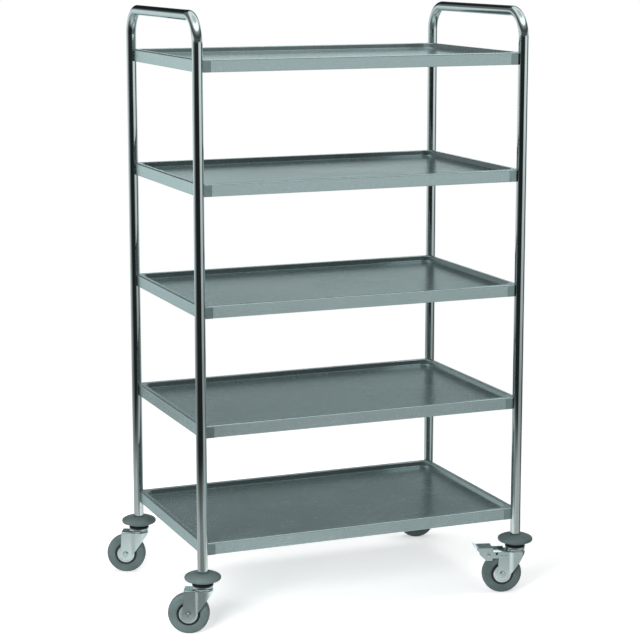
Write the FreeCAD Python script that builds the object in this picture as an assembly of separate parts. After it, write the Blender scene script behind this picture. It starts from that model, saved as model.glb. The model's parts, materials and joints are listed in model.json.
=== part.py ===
"""Serving trolley: two bent tube frames carry five pressed trays and run on four swivel castors.

Sizes are in millimetres. +Z is up and the floor is at zero. +X runs along the trays to the right
and +Y to the back. The origin is on the floor, at the middle of the ground that the trolley covers
with its castors trailing to the left.
"""
import FreeCAD, Part
import math
import os

# Overall
post_spacing_x = 835.0
post_spacing_y = 515.0
overall_height = 1474.0
overrun = 5.0
running_fit = 0.05
seat_gap = 0.2

# Tube frames
tube_r = 12.5
tube_wall = 1.5
hand_bend_r = 62.0

# Trays, from the lowest skirt edge to the highest
tray_count = 5
lowest_tray_z = 190.0
bar_over_tray = 141.0
sheet = 1.0
skirt_height = 30.0
skirt_edge_r = 3.0
rim_width = 12.0
well_depth = 13.0
well_draft = 4.5
well_corner_r = 28.0
hem_width = 8.0
tube_gap = 0.3

# Corner pieces between tray skirt and post
corner_length = 20.0
corner_sheet = 1.5
corner_lap = 12.0
edge_strip = 4.0

# Tray screws
screw_r = 3.0
screw_fit = 0.1
screw_tip_r = 6.5
screw_head_across = 10.0
screw_head_height = 4.0

# Wheels
wheel_r = 50.0
tyre_half_width = 13.5
tyre_inner_r = 28.5
tyre_bead_inset = 1.5
wheel_recess_r = 24.0
wheel_web_half = 4.0
hub_r = 9.5
hub_proud = 1.5
axle_r = 4.0
axle_sleeve_r = 6.0
side_gap = 0.4
guard_r = 22.8
guard_sheet = 1.0
guard_lip = 2.0
bolt_head_across = 13.0
bolt_head_height = 5.3
nut_height = 6.5
bolt_end = 2.5

# Castor forks
trail = 34.0
fork_sheet = 2.5
head_r = 25.0
head_depth = 5.0
head_blend_r = 10.0
crown_edge_r = 3.0
crown_clearance = 7.5
leg_end_r = 16.0
leg_back_foot = 13.0
leg_back_top = 10.0
race_lip_r = 19.8
race_lip_height = 3.0
race_lip_width = 2.0

# Castor stems and swivel heads
stem_rivet_r = 9.0
stem_rivet_height = 3.5
ball_r = 2.6
ball_circle_r = 14.5
race_gap = 0.35
race_r = 20.5
race_sheet = 2.5
collar_r = 9.0
collar_height = 5.0
seal_top_r = 21.0
seal_rim_r = 27.0
seal_sheet = 2.0
seal_rim_height = 4.5
seal_rim_clearance = 2.0

# Bumpers and the expanders in the post feet
bumper_r = 44.0
bumper_height = 24.5
bumper_floor = 12.0
bumper_neck_wall = 1.2
expander_wall = 5.8
expander_length = 42.0
expander_fit = 0.15
expander_slot = 2.0
stem_beyond_expander = 3.0

# Foot brakes
pin_over_leaf = 9.05
brake_pin_r = 2.5
brake_pin_head_r = 4.6
brake_pin_head_height = 1.4
cheek_r = 9.5
cheek_hole_r = 3.2
cheek_hole_over_leaf = 2.6
arch_front = 2.0
arch_back = -25.0
arch_rise = 9.0
pedal_sheet = 2.0
pedal_length = 47.0
pedal_height = 38.7
pedal_foot_drop = 14.5
pedal_front_lead = 9.0
pedal_tip_r = 9.0
pedal_boss_r = 7.0
pedal_boss_height = 0.7
pedal_stalk = 4.0
cam_r = 6.0
cam_offset = 2.5
leaf_gap = 3.0
leaf_sheet = 1.2
shoe_gap = 1.6
rivet_r = 2.2
rivet_head_r = 3.2
rivet_head_height = 1.2
ear_depth = 9.5

# Angles in degrees. The cam's counts from its side towards the axle, the rest about the axle from the front
brake_pin_deg = 124.7
cheek_hole_deg = 106.4
cam_rest_deg = 50.0
leaf_front_deg = 74.0
leaf_back_deg = 131.0
shoe_front_deg = 120.0
ear_front_deg = 75.0
ear_back_deg = 99.0
rivet_degs = (80.5, 93.5)

# Name, side along X, side along Y, turn of the castor from straight left, and whether it brakes
castor_rows = [
    ("front_left", -1, -1, 25.0, False),
    ("front_right", 1, -1, 16.0, True),
    ("back_left", -1, 1, 26.0, False),
    ("back_right", 1, 1, 20.0, True),
]

# Outlines as shares of the piece's radius or half width, then of its height
bumper_side_shares = [(0.50, 0.0), (0.93, 0.31), (1.0, 0.52), (0.94, 0.72), (0.68, 0.92)]
pedal_side_shares = [(0.33, 0.0), (0.70, 0.42), (0.755, 0.68), (0.99, 0.955), (1.0, 1.0),
                     (0.86, 0.885), (0.66, 0.857)]
tread_half_share = 0.45
shoulder_share = 0.58
flank_share = 0.20

# Heights and widths that follow from the sizes above
post_x = post_spacing_x / 2
post_y = post_spacing_y / 2
highest_tray_z = overall_height - bar_over_tray
tray_pitch = (highest_tray_z - lowest_tray_z) / (tray_count - 1)
screw_up = (skirt_height - edge_strip) / 2
expander_r = tube_r - tube_wall - expander_fit
stem_r = expander_r - expander_wall - running_fit
hub_half = tyre_half_width + hub_proud
sleeve_half = hub_half + side_gap
guard_inner = sleeve_half + running_fit
fork_inner = guard_inner + guard_sheet + running_fit
fork_outer = fork_inner + fork_sheet
crown_under_z = 2 * wheel_r + crown_clearance
crown_top_z = crown_under_z + fork_sheet
race_under_z = crown_top_z + 2 * (ball_r + race_gap)
collar_top_z = race_under_z + race_sheet + collar_height
bumper_foot_z = collar_top_z + seal_sheet + seat_gap
bumper_top_z = bumper_foot_z + bumper_height
post_foot_z = bumper_foot_z + bumper_floor + seat_gap
stem_top_z = post_foot_z + expander_length + stem_beyond_expander
leaf_inner_r = wheel_r + leaf_gap
leaf_outer_r = leaf_inner_r + leaf_sheet
brake_pin_at = leaf_outer_r + pin_over_leaf
cheek_hole_at = leaf_outer_r + cheek_hole_over_leaf
ear_outer = fork_inner - seat_gap
ear_inner = ear_outer - leaf_sheet
pedal_inner = fork_outer + tube_gap
pedal_outer = pedal_inner + pedal_sheet
least_turn = math.radians(min(row[3] for row in castor_rows if row[1] < 0))
origin_shift_x = ((trail + wheel_r) * math.cos(least_turn) - bumper_r) / 2

up = FreeCAD.Vector(0, 0, 1)
zero = FreeCAD.Vector(0, 0, 0)


def in_plan(x, y):
    return FreeCAD.Vector(x, y, 0)


def in_side(x, z):
    return FreeCAD.Vector(x, 0, z)


def in_end(y, z):
    return FreeCAD.Vector(0, y, z)


def path_edges(start, steps, to_space):
    """Edges in a row: a step of one point is a straight run, a step of two points an arc."""
    edges = []
    here = start
    for step in steps:
        ends = [to_space(*point) for point in step]
        if len(step) == 1:
            edges.append(Part.LineSegment(to_space(*here), ends[0]).toShape())
        else:
            edges.append(Part.Arc(to_space(*here), ends[0], ends[1]).toShape())
        here = step[-1]
    return edges


def outline(start, steps, to_space):
    """Closed wire, with a straight run back to the start where the steps end short of it."""
    closing = [] if steps[-1][-1] == start else [(start,)]
    return Part.Wire(path_edges(start, steps + closing, to_space))


def turned(start, steps):
    """Solid turned about Z from an outline in radius and height."""
    face = Part.Face(outline(start, steps, in_side))
    return face.revolve(zero, up, 360)


def turned_points(points):
    return turned(points[0], [(point,) for point in points[1:]])


def side_plate(start, steps, y_low, y_high):
    """Plate with its outline in X and Z, thick from y_low to y_high."""
    face = Part.Face(outline(start, steps, in_side))
    face.translate(FreeCAD.Vector(0, y_low, 0))
    return face.extrude(FreeCAD.Vector(0, y_high - y_low, 0))


def side_polygon(points, y_low, y_high):
    return side_plate(points[0], [(point,) for point in points[1:]], y_low, y_high)


def box(x_low, x_high, y_low, y_high, z_low, z_high):
    corner = FreeCAD.Vector(x_low, y_low, z_low)
    return Part.makeBox(x_high - x_low, y_high - y_low, z_high - z_low, corner)


def cross_rod(r, x, z, y_low, y_high):
    """Round bar along Y."""
    return Part.makeCylinder(r, y_high - y_low, FreeCAD.Vector(x, y_low, z), FreeCAD.Vector(0, 1, 0))


def hexagon(across, height):
    """Upright six-sided prism on the origin, flats facing X."""
    r = across / (2 * math.cos(math.pi / 6))
    corners = [in_plan(r * math.cos(math.radians(a)), r * math.sin(math.radians(a)))
               for a in range(30, 390, 60)]
    face = Part.Face(Part.makePolygon(corners + [corners[0]]))
    return face.extrude(up * height)


def fused(shapes):
    return shapes[0].multiFuse(shapes[1:]).removeSplitter() if len(shapes) > 1 else shapes[0]


def rounded_rectangle(half_x, half_y, r, z):
    k = r * (1 - math.sqrt(0.5))
    steps = [
        ((half_x - r, -half_y),), ((half_x - k, -half_y + k), (half_x, -half_y + r)),
        ((half_x, half_y - r),), ((half_x - k, half_y - k), (half_x - r, half_y)),
        ((-half_x + r, half_y),), ((-half_x + k, half_y - k), (-half_x, half_y - r)),
        ((-half_x, -half_y + r),), ((-half_x + k, -half_y + k), (-half_x + r, -half_y)),
    ]
    return outline((-half_x + r, -half_y), steps, lambda x, y: FreeCAD.Vector(x, y, z))


def at_corners(shape, z):
    """Four copies of a corner piece, made for the front left post and turned to each post."""
    copies = []
    for turn, side_x, side_y in ((0, -1, -1), (90, 1, -1), (180, 1, 1), (270, -1, 1)):
        copy = shape.copy()
        copy.rotate(zero, up, turn)
        copy.translate(FreeCAD.Vector(side_x * post_x, side_y * post_y, z))
        copies.append(copy)
    return copies


def diagonal_rod(r, start, length, z):
    """Round bar that leaves the post axis towards the middle of the tray."""
    inward = FreeCAD.Vector(1, 1, 0).normalize()
    return Part.makeCylinder(r, length, inward * start + up * z, inward)


def tray_heights():
    return [lowest_tray_z + tray_pitch * i for i in range(tray_count)]


def frame_path(x, foot_z):
    """Centre line of a side frame, from the front foot over the push bar to the back foot."""
    top = overall_height - tube_r
    bend = top - hand_bend_r
    k = hand_bend_r * (1 - math.sqrt(0.5))
    inner_y = post_y - hand_bend_r
    steps = [
        ((-post_y, bend),), ((-post_y + k, top - k), (-inner_y, top)),
        ((inner_y, top),), ((post_y - k, top - k), (post_y, bend)),
        ((post_y, foot_z),),
    ]
    return Part.Wire(path_edges((-post_y, foot_z), steps, lambda y, z: FreeCAD.Vector(x, y, z)))


def swept_rod(x, r, foot_z):
    foot = FreeCAD.Vector(x, -post_y, foot_z)
    profile = Part.Face(Part.Wire(Part.Circle(foot, up, r).toShape()))
    return frame_path(x, foot_z).makePipe(profile)


def frame_tube(side_x):
    """One side frame: a bent tube, open at both feet, drilled for the tray screws."""
    x = side_x * post_x
    tube = swept_rod(x, tube_r, post_foot_z)
    bore = swept_rod(x, tube_r - tube_wall, post_foot_z - overrun)
    tube = tube.cut(bore)
    hole = diagonal_rod(screw_r + screw_fit, 0, tube_r + overrun, screw_up)
    holes = []
    for z in tray_heights():
        holes += [h for h in at_corners(hole, z) if h.BoundBox.Center.x * side_x > 0]
    return tube.cut(Part.makeCompound(holes))


def tray():
    """Pressed tray with a sunk floor, a flat rim and a turned-down skirt with a hem."""
    floor_z = skirt_height - well_depth
    outside = box(-post_x, post_x, -post_y, post_y, 0, skirt_height)
    top_edges = [e for e in outside.Edges if e.BoundBox.ZMin > skirt_height / 2]
    outside = outside.makeFillet(skirt_edge_r, top_edges)
    inside = box(-post_x + sheet, post_x - sheet, -post_y + sheet, post_y - sheet,
                 -overrun, skirt_height - sheet)
    top_edges = [e for e in inside.Edges if e.BoundBox.ZMin > skirt_height / 2]
    inside = inside.makeFillet(skirt_edge_r - sheet, top_edges)
    rim_x = post_x - rim_width
    rim_y = post_y - rim_width
    low_x = rim_x - well_draft
    low_y = rim_y - well_draft
    low_r = well_corner_r - well_draft
    pan = Part.makeLoft([
        rounded_rectangle(rim_x + sheet, rim_y + sheet, well_corner_r + sheet, skirt_height),
        rounded_rectangle(low_x + sheet, low_y + sheet, low_r + sheet, floor_z - sheet),
    ], True, True)
    well = Part.makeLoft([
        rounded_rectangle(rim_x, rim_y, well_corner_r, skirt_height),
        rounded_rectangle(low_x, low_y, low_r, floor_z),
    ], True, True)
    hem_reach = sheet + hem_width
    hem = box(-post_x, post_x, -post_y, post_y, 0, sheet)
    hem = hem.cut(box(-post_x + hem_reach, post_x - hem_reach, -post_y + hem_reach,
                      post_y - hem_reach, -overrun, sheet + overrun))
    body = outside.cut(inside).multiFuse([pan, hem]).cut(well)
    notch = Part.makeCylinder(tube_r + tube_gap, skirt_height + 2 * overrun, up * -overrun)
    seam = tube_r + corner_length
    slot_top = skirt_height - edge_strip
    along_x = box(-overrun, seam, -overrun, hem_reach, -overrun, slot_top)
    along_y = box(-overrun, hem_reach, -overrun, seam, -overrun, slot_top)
    cuts = at_corners(fused([notch, along_x, along_y]), 0)
    return body.cut(Part.makeCompound(cuts)).removeSplitter()


def corner_piece():
    """Pressed corner: a web round the post, two cheeks flush with the skirts, laps behind them."""
    web_r = tube_r + tube_gap
    seam = tube_r + corner_length - seat_gap
    top = skirt_height - edge_strip - seat_gap
    lap_in = sheet + running_fit
    lap_foot = sheet + seat_gap
    ring = Part.makeCylinder(web_r + corner_sheet, top).cut(Part.makeCylinder(web_r, top))
    quarter = box(0, tube_r + corner_length, 0, tube_r + corner_length, 0, top)
    pieces = [ring.common(quarter)]
    pieces.append(box(web_r, seam, 0, corner_sheet, 0, top))
    pieces.append(box(0, corner_sheet, web_r, seam, 0, top))
    lap_start = seam - corner_sheet
    lap_end = seam + corner_lap
    lap_out = lap_in + corner_sheet
    pieces.append(box(lap_start, lap_end, lap_in, lap_out, lap_foot, top))
    pieces.append(box(lap_in, lap_out, lap_start, lap_end, lap_foot, top))
    hole = diagonal_rod(screw_r + screw_fit, 0, tube_r + overrun, screw_up)
    return fused(pieces).cut(hole)


def tray_screw():
    """Hexagon screw through the corner piece into the post, as far as its tip's place off the axis."""
    head_seat = tube_r + tube_gap + corner_sheet + running_fit
    head = hexagon(screw_head_across, screw_head_height)
    length = head_seat - screw_tip_r
    shank = Part.makeCylinder(screw_r, length, up * -length)
    screw = fused([head, shank])
    screw.translate(up * head_seat)
    screw.rotate(zero, FreeCAD.Vector(0, 1, 0), 90)
    screw.rotate(zero, up, 45)
    screw.translate(up * screw_up)
    return screw


def bumper():
    """Saucer-shaped rubber disc with a socket for the post and a hole for the stem."""
    shares = [(bumper_r * a, bumper_foot_z + bumper_height * b) for a, b in bumper_side_shares]
    socket_r = tube_r + expander_fit
    neck_r = socket_r + bumper_neck_wall
    floor_z = bumper_foot_z + bumper_floor
    bore_r = stem_r + expander_fit
    steps = [
        (shares[0],), (shares[1],), (shares[2], shares[3]),
        (shares[4], (neck_r, bumper_top_z)),
        ((socket_r, bumper_top_z),), ((socket_r, floor_z),), ((bore_r, floor_z),),
    ]
    return turned((bore_r, bumper_foot_z), steps)


def stem():
    """Castor stem: rivet head under the crown, neck, upper race, collar and long shank."""
    head_top = crown_under_z - tube_gap
    race_top = race_under_z + race_sheet
    points = [
        (0, head_top - stem_rivet_height), (stem_rivet_r / 2, head_top - stem_rivet_height),
        (stem_rivet_r, head_top - stem_rivet_height / 2), (stem_rivet_r, head_top),
        (stem_r, head_top), (stem_r, race_under_z), (race_r, race_under_z), (race_r, race_top),
        (collar_r, race_top), (collar_r, collar_top_z), (stem_r, collar_top_z),
        (stem_r, stem_top_z), (0, stem_top_z),
    ]
    return turned_points(points)


def seal():
    """Black cap over the ball race, with a skirt round the fork's crown."""
    top = collar_top_z + seal_sheet
    rim_z = crown_top_z + seal_rim_clearance
    bore_r = stem_r + expander_fit
    points = [
        (bore_r, collar_top_z), (seal_top_r - seal_sheet, collar_top_z),
        (seal_rim_r - seal_sheet, rim_z + seal_rim_height), (seal_rim_r - seal_sheet, rim_z),
        (seal_rim_r, rim_z), (seal_rim_r, rim_z + seal_rim_height), (seal_top_r, top), (bore_r, top),
    ]
    return turned_points(points)


def ball_ring():
    """The ring that the balls fill between the crown and the upper race, eight-sided in section."""
    middle = crown_top_z + ball_r + race_gap
    k = ball_r * (math.sqrt(2) - 1)
    corners = [(ball_r, -k), (ball_r, k), (k, ball_r), (-k, ball_r),
               (-ball_r, k), (-ball_r, -k), (-k, -ball_r), (k, -ball_r)]
    return turned_points([(ball_circle_r + x, middle + z) for x, z in corners])


def expander():
    """Slotted sleeve that grips the stem inside the post."""
    sleeve = Part.makeCylinder(expander_r, expander_length, up * post_foot_z)
    bore = Part.makeCylinder(stem_r + running_fit, expander_length + 2 * overrun,
                             up * (post_foot_z - overrun))
    slot_foot = post_foot_z + expander_length / 4
    slot = box(-tube_r, tube_r, -expander_slot / 2, expander_slot / 2, slot_foot,
               post_foot_z + expander_length + overrun)
    return sleeve.cut(bore).cut(slot)


def fork_plan(r, half, z_low, z_high):
    """Keyhole prism: a round head about the stem, blended into two parallel legs."""
    blend = head_blend_r + head_r - r
    centre_x = -math.sqrt((r + blend) ** 2 - (half + blend) ** 2)
    centre_y = half + blend
    on_head = r / (r + blend)
    mid_angle = (math.atan2(-centre_y, -centre_x) - math.pi / 2) / 2
    mid = (centre_x + blend * math.cos(mid_angle), centre_y + blend * math.sin(mid_angle))
    back = -(trail + leg_end_r + overrun)
    steps = [
        ((centre_x, -half),),
        ((mid[0], -mid[1]), (centre_x * on_head, -centre_y * on_head)),
        ((r, 0), (centre_x * on_head, centre_y * on_head)),
        (mid, (centre_x, half)),
        ((back, half),),
    ]
    face = Part.Face(outline((back, -half), steps, in_plan))
    face.translate(up * z_low)
    return face.extrude(up * (z_high - z_low))


def fork_side(half):
    """Side view of the fork: round leg ends, a slanting front edge and a steep back edge."""
    front = (head_r, crown_top_z - head_depth)
    reach_x = -trail - front[0]
    reach_z = wheel_r - front[1]
    distance = math.hypot(reach_x, reach_z)
    slant = math.atan2(reach_z, reach_x) + math.asin(leg_end_r / distance)
    run = math.sqrt(distance ** 2 - leg_end_r ** 2)
    touch = (front[0] + run * math.cos(slant), front[1] + run * math.sin(slant))
    top = crown_top_z + overrun
    points = [
        (-trail, wheel_r), touch, front, (head_r + overrun, front[1]), (head_r + overrun, top),
        (-trail - leg_back_top, top), (-trail - leg_back_top, crown_top_z),
        (-trail - leg_back_foot, wheel_r),
    ]
    return fused([side_polygon(points, -half, half), cross_rod(leg_end_r, -trail, wheel_r, -half, half)])


def about_axle(r, degrees):
    """A place on the castor's side, given by its distance from the axle and its angle."""
    turn = math.radians(degrees)
    return -trail + r * math.cos(turn), wheel_r + r * math.sin(turn)


def cheeks():
    """Fork sides drawn backwards to carry the brake pin, with the arch between them."""
    pin_x, pin_z = about_axle(brake_pin_at, brake_pin_deg)
    leg_x = -trail
    pieces = []
    for low, high in ((-fork_outer, -fork_inner), (fork_inner, fork_outer)):
        plate = box(pin_x, leg_x, low, high, pin_z - cheek_r, crown_top_z)
        pieces.append(fused([plate, cross_rod(cheek_r, pin_x, pin_z, low, high)]))
    front_x = -trail + arch_front
    back_x = -trail + arch_back
    foot = crown_under_z
    shoulder = crown_top_z
    steps = [
        ((-fork_outer, shoulder),), ((0, shoulder + arch_rise), (fork_outer, shoulder)),
        ((fork_outer, foot),), ((fork_inner, foot),), ((fork_inner, shoulder),),
        ((0, shoulder + arch_rise - fork_sheet), (-fork_inner, shoulder)), ((-fork_inner, foot),),
    ]
    arch = Part.Face(outline((-fork_outer, foot), steps, in_end))
    arch.translate(FreeCAD.Vector(back_x, 0, 0))
    pieces.append(arch.extrude(FreeCAD.Vector(front_x - back_x, 0, 0)))
    return pieces


def rivet_places():
    r = leaf_inner_r - ear_depth / 2
    return [about_axle(r, a) for a in rivet_degs]


def fork(braked):
    """Pressed fork: crown, round head wrapped to the front, two legs and the race lip."""
    half = fork_outer + overrun
    outside = fork_plan(head_r, fork_outer, 0, crown_top_z)
    top_edges = [e for e in outside.Edges
                 if e.BoundBox.ZMin > crown_under_z and e.BoundBox.XMax > -trail]
    outside = outside.makeFillet(crown_edge_r, top_edges)
    inside = fork_plan(head_r - fork_sheet, fork_inner, -overrun, crown_under_z)
    body = outside.cut(inside).common(fork_side(half))
    lip = Part.makeCylinder(race_lip_r, race_lip_height, up * crown_top_z)
    lip = lip.cut(Part.makeCylinder(race_lip_r - race_lip_width, race_lip_height, up * crown_top_z))
    pieces = [body, lip] + (cheeks() if braked else [])
    body = fused(pieces)
    holes = [
        Part.makeCylinder(stem_r + running_fit, crown_top_z, up * (crown_under_z - overrun)),
        cross_rod(axle_r + running_fit, -trail, wheel_r, -half, half),
    ]
    if braked:
        pin_x, pin_z = about_axle(brake_pin_at, brake_pin_deg)
        hole_x, hole_z = about_axle(cheek_hole_at, cheek_hole_deg)
        holes.append(cross_rod(brake_pin_r + running_fit, pin_x, pin_z, -half, half))
        holes.append(cross_rod(cheek_hole_r, hole_x, hole_z, -half, half))
        holes += [cross_rod(rivet_r + running_fit, x, z, -half, half) for x, z in rivet_places()]
    return body.cut(Part.makeCompound(holes))


def turned_to_axle(shape):
    """A piece turned about Z, laid on the wheel's axle with its top facing the front leg."""
    shape = shape.copy()
    shape.rotate(zero, FreeCAD.Vector(1, 0, 0), 90)
    shape.translate(FreeCAD.Vector(-trail, 0, wheel_r))
    return shape


def tyre():
    """Rubber tyre with a crowned tread, round shoulders and a bead step beside the wheel centre."""
    section = wheel_r - tyre_inner_r
    bead_half = tyre_half_width - tyre_bead_inset
    flank_r = tyre_inner_r + section * flank_share
    shoulder_r = tyre_inner_r + section * shoulder_share
    tread = tyre_half_width * tread_half_share
    slope = (wheel_r - shoulder_r) * (1 - math.sqrt(0.5))
    edge = (tyre_half_width - tread) * (1 - math.sqrt(0.5))
    crown = wheel_r - tread ** 2 / (4 * wheel_r)
    steps = [
        ((tyre_inner_r, bead_half),), ((flank_r, tyre_half_width),), ((shoulder_r, tyre_half_width),),
        ((crown - slope, tyre_half_width - edge), (crown, tread)),
        ((wheel_r, 0), (crown, -tread)),
        ((crown - slope, -tyre_half_width + edge), (shoulder_r, -tyre_half_width)),
        ((flank_r, -tyre_half_width),),
    ]
    return turned_to_axle(turned((tyre_inner_r, -bead_half), steps))


def wheel_centre():
    """Moulded wheel centre: hub, web and the rim that carries the tyre."""
    bore_r = axle_sleeve_r + running_fit
    rim_half = tyre_half_width - tyre_bead_inset
    upper = [
        (bore_r, hub_half), (hub_r, hub_half), (hub_r, wheel_web_half), (wheel_recess_r, wheel_web_half),
        (wheel_recess_r, rim_half), (tyre_inner_r, rim_half),
    ]
    lower = [(r, -z) for r, z in reversed(upper)]
    return turned_to_axle(turned_points(upper + lower))


def axle_sleeve():
    """Steel sleeve between the fork legs, on which the hub turns."""
    sleeve = Part.makeCylinder(axle_sleeve_r, 2 * sleeve_half, up * -sleeve_half)
    bore = Part.makeCylinder(axle_r + running_fit, 2 * (sleeve_half + overrun),
                             up * -(sleeve_half + overrun))
    return turned_to_axle(sleeve.cut(bore))


def thread_guards():
    """Two dished zinc discs, one inside each fork leg."""
    face_z = guard_inner + guard_sheet
    bend_r = guard_r - guard_lip
    points = [
        (axle_r + running_fit, guard_inner), (bend_r - guard_sheet / 2, guard_inner),
        (guard_r - guard_sheet, guard_inner - guard_lip), (guard_r, guard_inner - guard_lip),
        (guard_r, face_z - guard_lip), (bend_r, face_z), (axle_r + running_fit, face_z),
    ]
    far = turned_points(points)
    near = far.copy()
    near.rotate(zero, FreeCAD.Vector(1, 0, 0), 180)
    return Part.makeCompound([turned_to_axle(near), turned_to_axle(far)])


def axle_bolt():
    """Hexagon bolt from the near side and its nut on the far side."""
    seat = fork_outer + running_fit
    head = hexagon(bolt_head_across, bolt_head_height)
    head.translate(up * seat)
    far_end = -(seat + nut_height + bolt_end)
    shank = Part.makeCylinder(axle_r, seat - far_end, up * far_end)
    nut = hexagon(bolt_head_across, nut_height)
    nut = nut.cut(Part.makeCylinder(axle_r + running_fit, nut_height + 2 * overrun, up * -overrun))
    nut.translate(up * -(seat + nut_height))
    return Part.makeCompound([turned_to_axle(fused([head, shank])), turned_to_axle(nut)])


def pedal():
    """Foot pedal: pressed top with an upturned tip, two side skirts and the cam on its stalk."""
    pin_x, pin_z = about_axle(brake_pin_at, brake_pin_deg)
    front_x = pin_x + pedal_front_lead
    foot_z = pin_z - pedal_foot_drop
    side = [(front_x - pedal_length * a, foot_z + pedal_height * b) for a, b in pedal_side_shares]
    top_z = side[-1][1]
    steps = [
        (side[0],), (side[1],), (side[2],), (side[3],), (side[4],), (side[5], side[6]),
        ((front_x, top_z),),
    ]
    body = side_plate((front_x, foot_z), steps, -pedal_outer, pedal_outer)
    lower = [(x, z - pedal_sheet) for x, z in side]
    hollow_steps = [
        ((front_x + overrun, top_z - pedal_sheet),), (lower[6],), (lower[5], lower[4]),
        ((lower[4][0] - overrun, lower[4][1]),), ((lower[4][0] - overrun, foot_z - overrun),),
    ]
    hollow = side_plate((front_x + overrun, foot_z - overrun), hollow_steps, -pedal_inner, pedal_inner)
    body = body.cut(hollow)
    tip_x = side[4][0]
    plan = box(tip_x, front_x, -pedal_outer, pedal_outer, foot_z - overrun, side[4][1] + overrun)
    tip_edges = [e for e in plan.Edges if e.BoundBox.XMax < tip_x + overrun
                 and e.BoundBox.ZLength > pedal_height]
    body = body.common(plan.makeFillet(pedal_tip_r, tip_edges))
    boss_y = pedal_outer + pedal_boss_height
    cam_y = ear_inner - seat_gap
    to_axle = math.degrees(math.atan2(wheel_r - pin_z, -trail - pin_x))
    cam_turn = math.radians(to_axle - cam_rest_deg)
    cam_x = pin_x + cam_offset * math.cos(cam_turn)
    cam_z = pin_z + cam_offset * math.sin(cam_turn)
    pieces = [
        body,
        cross_rod(pedal_boss_r, pin_x, pin_z, -boss_y, -pedal_inner),
        cross_rod(pedal_boss_r, pin_x, pin_z, pedal_inner, boss_y),
        cross_rod(cam_r, cam_x, cam_z, -cam_y, cam_y),
        box(pin_x - pedal_stalk / 2, pin_x + pedal_stalk / 2, -cam_y, cam_y, pin_z, top_z - pedal_sheet),
    ]
    bore = cross_rod(brake_pin_r + running_fit, pin_x, pin_z, -boss_y - overrun, boss_y + overrun)
    return fused(pieces).cut(bore)


def brake_pin():
    """Headed pin through the cheeks and the pedal."""
    pin_x, pin_z = about_axle(brake_pin_at, brake_pin_deg)
    seat = pedal_outer + pedal_boss_height + seat_gap
    end = seat + brake_pin_head_height
    return fused([
        cross_rod(brake_pin_r, pin_x, pin_z, -end, end),
        cross_rod(brake_pin_head_r, pin_x, pin_z, -end, -seat),
        cross_rod(brake_pin_head_r, pin_x, pin_z, seat, end),
    ])


def ring_sector(r_low, r_high, from_deg, to_deg, y_low, y_high):
    """Curved plate about the axle, between two angles."""
    middle = (from_deg + to_deg) / 2
    steps = [
        (about_axle(r_high, from_deg),),
        (about_axle(r_high, middle), about_axle(r_high, to_deg)),
        (about_axle(r_low, to_deg),),
        (about_axle(r_low, middle), about_axle(r_low, from_deg)),
    ]
    return side_plate(about_axle(r_low, from_deg), steps, y_low, y_high)


def brake_leaf():
    """Spring leaf over the tread, with two ears riveted to the fork and a shoe at its end."""
    shoe_r = wheel_r + shoe_gap
    ear_r = leaf_inner_r - ear_depth
    pieces = [
        ring_sector(leaf_inner_r, leaf_outer_r, leaf_front_deg, leaf_back_deg, -ear_inner, ear_inner),
        ring_sector(shoe_r, leaf_outer_r, shoe_front_deg, leaf_back_deg, -ear_inner, ear_inner),
        ring_sector(ear_r, leaf_outer_r, ear_front_deg, ear_back_deg, -ear_outer, -ear_inner),
        ring_sector(ear_r, leaf_outer_r, ear_front_deg, ear_back_deg, ear_inner, ear_outer),
    ]
    holes = [cross_rod(rivet_r + running_fit, x, z, -fork_outer, fork_outer) for x, z in rivet_places()]
    return fused(pieces).cut(Part.makeCompound(holes))


def brake_rivets():
    """Four rivets that hold the leaf's ears to the fork."""
    end = fork_outer + rivet_head_height
    rivets = []
    for x, z in rivet_places():
        near = [cross_rod(rivet_r, x, z, -end, -ear_inner),
                cross_rod(rivet_head_r, x, z, -end, -fork_outer - running_fit)]
        far = [cross_rod(rivet_r, x, z, ear_inner, end),
               cross_rod(rivet_head_r, x, z, fork_outer + running_fit, end)]
        rivets += [fused(near), fused(far)]
    return Part.makeCompound(rivets)


def at_castor(shape, row):
    """A copy of a castor piece at its post, turned to its place at rest."""
    side_x, side_y, turn = row[1:4]
    copy = shape.copy()
    copy.rotate(zero, up, -turn)
    copy.translate(FreeCAD.Vector(side_x * post_x, side_y * post_y, 0))
    return copy


def export(name, shape):
    shape = shape.copy()
    shape.translate(FreeCAD.Vector(origin_shift_x, 0, 0))
    shape.exportStep(os.path.join("parts", name + ".step"))


def export_castors():
    shared = {
        "bumper": bumper(), "stem": stem(), "seal": seal(), "axle_bolt": axle_bolt(),
        "axle_sleeve": axle_sleeve(), "thread_guards": thread_guards(),
        "wheel_centre": wheel_centre(), "tyre": tyre(),
    }
    brake = {
        "brake_pedal": pedal(), "brake_pin": brake_pin(), "brake_leaf": brake_leaf(),
        "brake_rivets": brake_rivets(),
    }
    forks = {True: fork(True), False: fork(False)}
    for row in castor_rows:
        for name, shape in shared.items():
            export(row[0] + "_" + name, at_castor(shape, row))
        export(row[0] + "_fork", at_castor(forks[row[4]], row))
        if row[4]:
            for name, shape in brake.items():
                export(row[0] + "_" + name, at_castor(shape, row))
    for name, shape in (("ball_rings", ball_ring()), ("post_expanders", expander())):
        export(name, Part.makeCompound([at_castor(shape, row) for row in castor_rows]))


def export_frame_and_trays():
    export("left_frame_tube", frame_tube(-1))
    export("right_frame_tube", frame_tube(1))
    one_tray = tray()
    screws = []
    for number, z in enumerate(tray_heights(), 1):
        copy = one_tray.copy()
        copy.translate(up * z)
        export("tray_%d" % number, copy)
        export("tray_%d_corners" % number, Part.makeCompound(at_corners(corner_piece(), z)))
        screws += at_corners(tray_screw(), z)
    export("tray_screws", Part.makeCompound(screws))


def main():
    os.makedirs("parts", exist_ok=True)
    export_frame_and_trays()
    export_castors()


main()
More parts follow.
